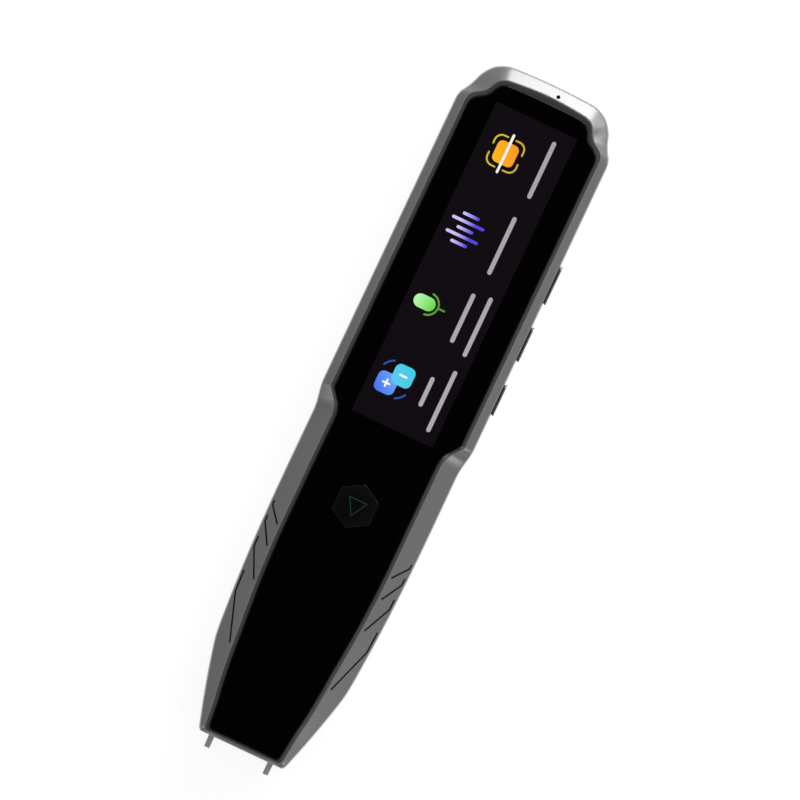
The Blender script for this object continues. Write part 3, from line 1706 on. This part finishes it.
def stroke(path: Sequence[Point], width: float) -> list[Point]:
    """The outline of a line of even width with round ends.

    Args:
        path: The line's points.
        width: Its width.

    Returns:
        The outline, counterclockwise.
    """
    points = [Vector(point) for point in path]
    half = width / 2
    left: list[Point] = []
    right: list[Point] = []
    for i, point in enumerate(points):
        before = points[max(i - 1, 0)]
        after = points[min(i + 1, len(points) - 1)]
        way = (after - before).normalized()
        side = Vector((-way.y, way.x)) * half
        left.append(tuple(point + side))
        right.append(tuple(point - side))
    start = math.degrees(math.atan2(*(points[0] - points[1]).yx))
    end = math.degrees(math.atan2(*(points[-1] - points[-2]).yx))
    last = arc(points[-1].x, points[-1].y, half, end - 90, end + 90, 6)[1:-1]
    first = arc(points[0].x, points[0].y, half, start - 90, start + 90, 6)[1:-1]
    return right + last + left[::-1] + first


@dataclass
class ScreenPicture:
    """What the screen shows: four signs in a column, each with plain bars beside it.

    Attributes:
        level: The height of the glass's upper face.
        thickness: The thickness of the lit shapes.
        lift: How far they stand off the glass.
        column: Where the signs stand across the pen.
        scan: The middle of the scan sign: how far beside the column, and along the pen.
        wave: The middle of the wave sign, likewise.
        voice: The middle of the voice sign's head, likewise.
        change: The middle of the change sign, likewise.
        bar_width: The width of the bars beside the signs.
        bar_spans: Where they lie across the pen, and their two ends along it.
    """

    level: float
    thickness: float = 0.012
    lift: float = 0.002
    column: float = -3.05
    scan: Point = (0.0, 138.35)
    wave: Point = (-0.9, 120.1)
    voice: Point = (-2.1, 102.55)
    change: Point = (-0.87, 85.05)
    bar_width: float = 0.95
    bar_spans: tuple[tuple[float, float, float], ...] = (
        (5.4, 131.7, 145.2), (4.6, 113.5, 127.2), (3.6, 97.1, 108.8), (7.3, 95.5, 109.6),
        (3.3, 82.0, 89.1), (7.1, 77.8, 92.3),
    )

    def plate(self, name: str, outline: Sequence[Point], ink: LitInk, layer: int = 0) -> None:
        """Sets a lit shape onto the glass, over as many others as its layer says."""
        low = self.level + self.lift + layer * self.thickness
        Sculpt.plate(outline, low, low + self.thickness, ink).stand(name, "body", "screen")

    def spot(self, sign: Point) -> Point:
        """The middle of a sign on the pen."""
        return self.column + sign[0], sign[1]

    def scan_sign(self) -> None:
        """A square between four corners, with a line through it."""
        x, y = self.spot(self.scan)
        wide, long, corner = 2.4, 2.45, 1.15
        bend_across, bend_along, bend_radius, bend_width, lead_length = 1.75, 1.85, 1.6, 0.37, 0.8
        line_reach, line_width = 4.25, 0.55
        orange = LitInk("sign_orange", (1.0, 0.47, 0.01), (1.0, 0.31, 0.015),
                        (x - wide, y - wide / 2), (x + wide, y + wide / 2))
        amber = LitInk("sign_amber", (0.62, 0.5, 0.03), (0.62, 0.44, 0.05), (x - 3, y), (x + 3, y))
        square = rounded_rectangle(x - wide, x + wide, y - long, y + long, corner)
        self.plate("sign_scan_square", square, orange)
        for i, (across, along, start) in enumerate(((1, 1, 0), (-1, 1, 90), (-1, -1, 180), (1, -1, 270))):
            lead = Vector((math.cos(math.radians(start)), math.sin(math.radians(start)))) * lead_length
            bend = arc(x + across * bend_across, y + along * bend_along, bend_radius, start, start + 90, 10)
            first = (bend[0][0] + lead.y, bend[0][1] - lead.x)
            last = (bend[-1][0] - lead.x, bend[-1][1] - lead.y)
            self.plate(f"sign_scan_corner_{i + 1}", stroke([first, *bend, last], bend_width), amber)
        line = stroke([(x, y - line_reach), (x, y + line_reach)], line_width)
        self.plate("sign_scan_line", line, self.white(), 1)

    def wave_sign(self) -> None:
        """Five bars of a sound wave."""
        x, y = self.spot(self.wave)
        short, long, width, apart = 1.6, 3.4, 0.68, 1.59
        for i, reach in enumerate((short, long, short, long, short)):
            lilac = LitInk("sign_lilac", (0.62, 0.54, 0.95), (0.09, 0.06, 0.72), (x - reach, y),
                           (x + reach, y))
            place = y + (i - 2) * apart
            bar = stroke([(x - reach, place), (x + reach, place)], width)
            self.plate(f"sign_wave_{i + 1}", bar, lilac)

    def voice_sign(self) -> None:
        """A microphone on its stand, turned on its side."""
        x, y = self.spot(self.voice)
        head_length, head_width, line_width = 4.9, 3.0, 0.4
        cup_place, cup_radius, cup_angle = 0.75, 2.35, 84
        stem_low, stem_high = 3.3, 4.6
        leaf = LitInk("sign_leaf", (0.5, 0.95, 0.46), (0.1, 0.68, 0.015), (x - 2.5, y + 0.6),
                      (x + 2.5, y - 0.6))
        moss = LitInk("sign_moss", (0.14, 0.38, 0.05), (0.1, 0.28, 0.03), (x, y), (x + 5, y))
        self.plate("sign_voice_head", capsule(x, y, head_length, head_width), leaf)
        cup = arc(x + cup_place, y, cup_radius, -cup_angle, cup_angle, 16)
        self.plate("sign_voice_cup", stroke(cup, line_width), moss)
        self.plate("sign_voice_stem", stroke([(x + stem_low, y), (x + stem_high, y)], line_width), moss)

    def change_sign(self) -> None:
        """Two overlapping tiles with two arcs round them."""
        x, y = self.spot(self.change)
        half, corner, spread = 2.28, 1.3, Vector((2, 2))
        mark_reach, mark_width = 0.75, 0.42
        arc_radius, arc_width = 4.0, 0.4
        low, high = Vector((x - 1.35, y - 1.4)), Vector((x + 1.35, y + 1.4))
        blue = LitInk("sign_blue", (0.06, 0.16, 0.85), (0.16, 0.38, 0.95), low - spread, low + spread)
        cyan = LitInk("sign_cyan", (0.1, 0.6, 0.85), (0.05, 0.6, 0.78), high - spread, high + spread)
        navy = LitInk("sign_navy", (0.035, 0.08, 0.34), (0.035, 0.08, 0.34), (x - 1, y), (x + 1, y))
        for i, (name, middle, ink) in enumerate((("low", low, blue), ("high", high, cyan))):
            tile = rounded_rectangle(middle.x - half, middle.x + half, middle.y - half, middle.y + half,
                                     corner)
            self.plate(f"sign_change_{name}", tile, ink, i)
            across = [(middle.x - mark_reach, middle.y), (middle.x + mark_reach, middle.y)]
            along = [(middle.x, middle.y - mark_reach), (middle.x, middle.y + mark_reach)]
            self.plate(f"sign_change_{name}_bar", stroke(across, mark_width), self.white(), i + 1)
            if name == "low":
                self.plate(f"sign_change_{name}_post", stroke(along, mark_width), self.white(), i + 2)
        for i, start in enumerate((115, -65)):
            bow = arc(x, y, arc_radius, start, start + 34, 10)
            self.plate(f"sign_change_arc_{i + 1}", stroke(bow, arc_width), navy)

    def bars(self) -> None:
        """The plain bars beside the signs, in place of any words."""
        silver = LitInk("bar_silver", (0.42, 0.4, 0.42), (0.38, 0.365, 0.385), (4, 80), (8, 140))
        for i, (x, low, high) in enumerate(self.bar_spans):
            self.plate(f"bar_{i + 1}", stroke([(x, low + 0.6), (x, high - 0.6)], self.bar_width), silver)

    @staticmethod
    def white() -> LitInk:
        """The ink of the signs' white lines."""
        return LitInk("sign_white", (0.95, 0.95, 0.95), (0.95, 0.93, 0.9), (0, 80), (0, 140))

    def build(self) -> None:
        """Builds all that the screen shows."""
        self.scan_sign()
        self.wave_sign()
        self.voice_sign()
        self.change_sign()
        self.bars()


# Moving pieces


@dataclass
class SideButton:
    """A side button: a rounded head with an inlaid strip, a narrower dark neck and a flange.

    Attributes:
        node: The CAD node that it stands for.
        body: The body that it rides on.
        nodes: The CAD nodes of all three.
        flange: How far the flange stands out round the neck.
        pocket_wall: The wall between the flange's pocket and the pen's side.
        head: The thickness of the head.
        neck: How much the neck is drawn in.
        cap_round: The rounding of the head's edge.
        inlay_margin: The margin round the inlay.
        inlay_depth: The inlay's depth.
        strip_gap: The gap round the strip in it.
        strip_round: The rounding of the strip's edge.
    """

    node: str
    body: str

    nodes: ClassVar[tuple[str, ...]] = ("power_button", "volume_up_button", "volume_down_button")
    flange: ClassVar[float] = 0.3
    pocket_wall: ClassVar[float] = 1.64
    head: ClassVar[float] = 0.32
    neck: ClassVar[float] = 0.22
    cap_round: ClassVar[float] = 0.12
    inlay_margin: ClassVar[float] = 0.28
    inlay_depth: ClassVar[float] = 0.14
    strip_gap: ClassVar[float] = 0.02
    strip_round: ClassVar[float] = 0.06

    def build(self) -> None:
        """Builds the button and sets it into the frame."""
        box = PEN.box(self.node)
        length, height = box.size.y - self.flange * 2, box.size.z - self.flange * 2
        outline = capsule(box.middle.y, box.middle.z, length, height)
        face = HALF_WIDTH - self.pocket_wall - GLUE_GAP
        cap = Sculpt.plate(outline, box.high.x - self.head, box.high.x, SATIN_GREY, Facing.ACROSS,
                           high_edge=self.cap_round, edge_steps=5)
        neck = Sculpt.plate(grown(outline, -self.neck), (box.low.x + face) / 2, box.high.x - self.head / 2,
                            SEAM_BLACK, Facing.ACROSS)
        flange = Sculpt.plate(grown(outline, self.flange), box.low.x, face, SATIN_GREY, Facing.ACROSS)
        inlay = Sculpt.plate(grown(outline, -self.inlay_margin), box.high.x - self.inlay_depth,
                             box.high.x + OVERRUN, SEAM_BLACK, Facing.ACROSS)
        cap.carved([inlay]).joined([neck, flange])
        cap.stand(f"{self.node}_cap", self.body, "satin_grey", [self.node])
        strip = Sculpt.plate(grown(outline, -self.inlay_margin - self.strip_gap),
                             box.high.x - self.inlay_depth, box.high.x, TRIM_GREY, Facing.ACROSS,
                             high_edge=self.strip_round, edge_steps=3)
        strip.stand(f"{self.node}_strip", self.body, "trim_grey")


@dataclass
class ScanGuide:
    """The pale guide at the nose: a bar with a groove and two prongs.

    Attributes:
        round: The rounding of its edges.
        taper: How much narrower its prongs are at their tips.
        leg: The width of a prong.
        bar: Where the bar between the prongs begins and ends along the pen.
        corner: The rounding of the bracket's two corners.
        travel: How far it is pressed in.
        lip: The thickness of the shell behind the room that it is pressed into.
        groove_place: Where the groove lies along the pen.
        groove_width: The groove's width.
        groove_depth: Its depth.
        groove_end: How far it ends before either prong.
        stem: The width, the thickness and the height over the back of the stem.
        stem_root: How far the stem reaches into the bar.
        tab: The width and the length of the stop behind the nose.
    """

    round: float = 0.14
    taper: float = 0.3

    leg: ClassVar[float] = 1.5
    bar: ClassVar[tuple[float, float]] = (5.9, 8.8)
    corner: ClassVar[float] = 1.5
    travel: ClassVar[float] = 0.8
    lip: ClassVar[float] = 0.35
    groove_place: ClassVar[float] = 7.3
    groove_width: ClassVar[float] = 0.4
    groove_depth: ClassVar[float] = 0.5
    groove_end: ClassVar[float] = 0.05
    stem: ClassVar[tuple[float, float, float]] = (2.4, 1.2, 1.2)
    stem_root: ClassVar[float] = 0.3
    tab: ClassVar[tuple[float, float]] = (5.4, 1.2)

    def build(self) -> None:
        """Builds the guide and sets it into the frame."""
        box = PEN.box("scan_guide")
        half, tip = box.high.x, box.low.y
        inner = half - self.leg
        low, high = self.bar
        corner = self.corner
        end = half - self.taper
        outline = [(-end, tip), (-inner, tip), (-inner, low), (inner, low), (inner, tip), (end, tip)]
        outline += arc(half - corner, high - corner, corner, 0, 90)
        outline += arc(-half + corner, high - corner, corner, 90, 180)
        plate = Sculpt.plate(outline, box.low.z, box.high.z, PALE_GREY).bevelled(self.round, 3, 50)
        slot = capsule(0, self.groove_place, (inner - self.groove_end) * 2, self.groove_width)
        groove = Sculpt.plate(slot, box.low.z - OVERRUN, box.low.z + self.groove_depth, SEAM_BLACK)
        width, thickness, level = self.stem
        tab_width, tab_length = self.tab
        back = RearShell.nose_block[0] + RUN_GAP
        stem = Sculpt.block((-width / 2, high - self.stem_root, level),
                            (width / 2, box.high.y, level + thickness), PALE_GREY)
        tab = Sculpt.block((-tab_width / 2, back, level),
                           (tab_width / 2, back + tab_length, level + thickness), PALE_GREY)
        plate.carved([groove]).joined([stem, tab])
        plate.stand("scan_guide_bracket", "guide", "pale_grey", ["scan_guide"])


@dataclass
class ScanWindow:
    """The black window that the pen reads through.

    Attributes:
        place: Where it lies.
        corner: The rounding of its corners.
        round: The rounding of its edges.
    """

    place: WindowPlace = field(default_factory=WindowPlace)
    corner: float = 0.35
    round: float = 0.1

    def build(self) -> None:
        """Builds the window and sets it into the frame."""
        at = self.place
        outline = rounded_rectangle(-at.width / 2, at.width / 2, 0, at.slope_length, self.corner, 5)
        pane = Sculpt.plate(outline, 0, at.thickness, WINDOW_BLACK, low_edge=self.round, edge_steps=3)
        angle = math.radians(at.tilt)
        up = Vector((0, -math.cos(angle), math.sin(angle)))
        deep = Vector((0, math.sin(angle), math.cos(angle)))
        turn = Matrix((Vector((-1, 0, 0)), up, deep)).transposed().to_4x4()
        move = Matrix.Translation((0, at.low_place, at.low_level))
        bmesh.ops.transform(pane.bm, matrix=move @ turn, verts=pane.bm.verts)
        pane.stand("scan_window_pane", "body", "window_black", ["scan_window"])


@dataclass
class Insides:
    """The pieces inside the shells, which keep their CAD shapes and get their finishes."""

    def build(self) -> None:
        """Gives each CAD node the finish of its slot."""
        for entry in frame["record"]["subparts"]:
            mesh = frame["nodes"][entry["node"]].data
            finish = SLOT_FINISHES[entry["material_slot"]]
            mesh.materials.clear()
            mesh.materials.append(finish.material())
        log.info("%d CAD nodes have their finishes", len(frame["nodes"]))


# Studio


@dataclass(frozen=True)
class SoftLight:
    """A soft lamp.

    Attributes:
        name: Its name.
        heading: Its direction from the pen, in degrees from +X towards +Y.
        height: Its height above the horizon, in degrees.
        distance: How far it stands, in metres.
        size: Its width and height, in metres.
        radiance: How bright it is, where 1 shows as white.
    """

    name: str
    heading: float
    height: float
    distance: float
    size: tuple[float, float]
    radiance: float

    def build(self) -> None:
        """Sets the lamp up, turned towards the pen."""
        data = bpy.data.lights.new(self.name, "AREA")
        data.shape = "RECTANGLE"
        data.size, data.size_y = self.size
        data.energy = self.radiance * math.pi * data.size * data.size_y
        heading, height = math.radians(self.heading), math.radians(self.height)
        level = math.cos(height)
        way = Vector((math.cos(heading) * level, math.sin(heading) * level, math.sin(height)))
        lamp = bpy.data.objects.new(self.name, data)
        lamp.location = way * self.distance
        lamp.rotation_euler = (-way).to_track_quat("-Z", "Y").to_euler()
        bpy.context.scene.collection.objects.link(lamp)


@dataclass
class Studio:
    """The floor, the lamps, the world and the camera.

    Attributes:
        image_size: The width and height of the picture in pixels.
        scale: How many pixels of the picture show a millimetre of the pen.
        pen_middle: The pixel that shows the middle of the pen's body.
        turn: How far the pen's top end leans to the right, in degrees.
        distance: The distance of the camera in metres.
        sensor: The width of its sensor in millimetres.
        level: The height in millimetres at which the scale holds.
        reach: How far the camera sees in metres.
        floor_half: How far the floor reaches from its middle in metres.
        floor_drop: How far it lies under the pen in metres.
        floor_tone: How much light it throws back.
        floor_glow: How bright it shows where no light falls on it.
        dome_rise: How the room's light grows with height: two heights, and the light at either.
        dome_fall: By what it is dimmed above the pen, likewise.
        lights: The lamps.
    """

    image_size: float = 800.0
    scale: float = 4.71
    pen_middle: Point = (397.3, 417.4)
    turn: float = 25.2
    distance: float = 4.0
    sensor: float = 36.0
    level: float = 8.0
    reach: float = 50.0
    floor_half: float = 4.0
    floor_drop: float = 0.0002
    floor_tone: float = 0.18
    floor_glow: float = 0.88
    dome_rise: tuple[float, float, float, float] = (0.6, 0.85, 0.42, 0.66)
    dome_fall: tuple[float, float, float, float] = (0.94, 0.978, 1.0, 0.025)
    lights: tuple[SoftLight, ...] = (
        SoftLight("top_end_softbox", 83, 25, 0.8, (0.5, 0.35), 10.6),
        SoftLight("right_corner_softbox", 49, 26, 0.85, (0.22, 0.25), 7.0),
        SoftLight("right_nose_softbox", -26, 26, 0.85, (0.16, 0.2), 6.4),
        SoftLight("left_nose_softbox", 218, 26, 0.85, (0.28, 0.28), 2.4),
        SoftLight("under_softbox", 96, -25, 0.8, (0.4, 0.3), 6.0),
    )

    def camera(self) -> None:
        """Sets the camera up straight above the pen, as the photograph shows it."""
        data = bpy.data.cameras.new("photo_camera")
        data.sensor_width = self.sensor
        data.lens = self.sensor * self.distance / (self.image_size / self.scale * MM)
        data.clip_end = self.reach
        turn = Matrix.Rotation(math.radians(self.turn), 3, "Z")
        half = self.image_size / 2
        right, down = self.pen_middle
        offset = Vector(((right - half) / self.scale, (half - down) / self.scale, 0.0))
        middle = PEN.matrix @ Vector((0, PEN.length / 2, self.level))
        camera = bpy.data.objects.new("photo_camera", data)
        camera.location = middle - turn @ offset * MM + Vector((0, 0, self.distance))
        camera.rotation_euler = turn.to_euler()
        bpy.context.scene.collection.objects.link(camera)
        bpy.context.scene.camera = camera

    def floor(self) -> None:
        """Lays the white floor, which shows soft shadows and is clear from below and to soft light."""
        bm = bmesh.new()
        bmesh.ops.create_grid(bm, x_segments=1, y_segments=1, size=self.floor_half)
        bmesh.ops.translate(bm, verts=bm.verts, vec=(0, 0, -self.floor_drop))
        mesh = bpy.data.meshes.new("floor")
        bm.to_mesh(mesh)
        bm.free()
        paper = bpy.data.materials.new("floor_paper")
        paper.use_nodes = True
        paper.node_tree.nodes.clear()
        desk = NodeDesk(paper.node_tree)
        side, path = desk.add("ShaderNodeNewGeometry"), desk.add("ShaderNodeLightPath")
        seen = desk.maximum(desk.maximum(path.outputs["Is Camera Ray"], path.outputs["Is Glossy Ray"]),
                            path.outputs["Is Transmission Ray"])
        glow = desk.add("ShaderNodeMath", {0: seen, 1: self.floor_glow}, operation="MULTIPLY")
        shader = desk.add("ShaderNodeBsdfPrincipled", {
            "Base Color": (self.floor_tone, self.floor_tone, self.floor_tone, 1.0), "Roughness": 0.9,
            "Specular IOR Level": 0.1, "Emission Color": (1.0, 1.0, 1.0, 1.0),
            "Emission Strength": glow.outputs["Value"],
        })
        through = desk.maximum(side.outputs["Backfacing"],
                               desk.maximum(path.outputs["Is Shadow Ray"], path.outputs["Is Diffuse Ray"]))
        clear = desk.add("ShaderNodeBsdfTransparent")
        mixed = desk.add("ShaderNodeMixShader", {0: through, 1: shader.outputs["BSDF"],
                                                 2: clear.outputs["BSDF"]})
        desk.add("ShaderNodeOutputMaterial", {"Surface": mixed.outputs["Shader"]})
        mesh.materials.append(paper)
        floor = bpy.data.objects.new("floor", mesh)
        bpy.context.scene.collection.objects.link(floor)

    @staticmethod
    def _ramp(desk: NodeDesk, height: bpy.types.NodeSocket,
              ramp: tuple[float, float, float, float]) -> bpy.types.NodeSocket:
        """A value that runs from one number to another between two heights.

        Args:
            desk: Where the nodes are added.
            height: The socket of the height.
            ramp: The two heights, and the number at either.

        Returns:
            The value's socket.
        """
        low, high, first, last = ramp
        node = desk.add("ShaderNodeMapRange", {"Value": height, "From Min": low, "From Max": high,
                                               "To Min": first, "To Max": last})
        return node.outputs["Result"]

    def world(self) -> None:
        """Fills the room with even light that shows as white behind the floor's edge."""
        world = bpy.data.worlds.new("studio_world")
        world.use_nodes = True
        world.node_tree.nodes.clear()
        desk = NodeDesk(world.node_tree)
        place = desk.add("ShaderNodeTexCoord")
        split = desk.add("ShaderNodeSeparateXYZ", {"Vector": place.outputs["Generated"]})
        path = desk.add("ShaderNodeLightPath")
        rise = self._ramp(desk, split.outputs["Z"], self.dome_rise)
        fall = self._ramp(desk, split.outputs["Z"], self.dome_fall)
        dome = desk.add("ShaderNodeMath", {0: rise, 1: fall}, operation="MULTIPLY")
        strength = desk.add("ShaderNodeMix", {0: path.outputs["Is Camera Ray"], 2: dome.outputs["Value"],
                                              3: 1.0})
        light = desk.add("ShaderNodeBackground", {"Color": (1.0, 1.0, 1.0, 1.0),
                                                  "Strength": strength.outputs[0]})
        desk.add("ShaderNodeOutputWorld", {"Surface": light.outputs["Background"]})
        bpy.context.scene.world = world

    def build(self) -> None:
        """Sets the whole studio up."""
        bpy.context.scene.view_settings.view_transform = "Standard"
        self.floor()
        self.world()
        for light in self.lights:
            light.build()
        self.camera()
        log.info("the studio has %d lamps", len(self.lights))


def corners(bounds: tuple[Vector, Vector]) -> list[list[float]]:
    """Two corners as plain lists of numbers."""
    return [list(corner) for corner in bounds]


def main() -> None:
    """Builds the pen's sub-assemblies in order and writes down how large it is."""
    logging.basicConfig(level=logging.INFO, format="%(message)s")
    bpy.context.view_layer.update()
    Insides().build()
    RearShell().build()
    FrontShell().build()
    FaceBezel().build()
    FaceGlass().build()
    ScreenPicture(level=PEN.box("cover_glass").high.z).build()
    HomeKey().build()
    for node, body in zip(SideButton.nodes, ("power", "volume_up", "volume_down")):
        SideButton(node, body).build()
    ScanGuide().build()
    ScanWindow().build()
    Studio().build()


if __name__ == "__main__":
    main()
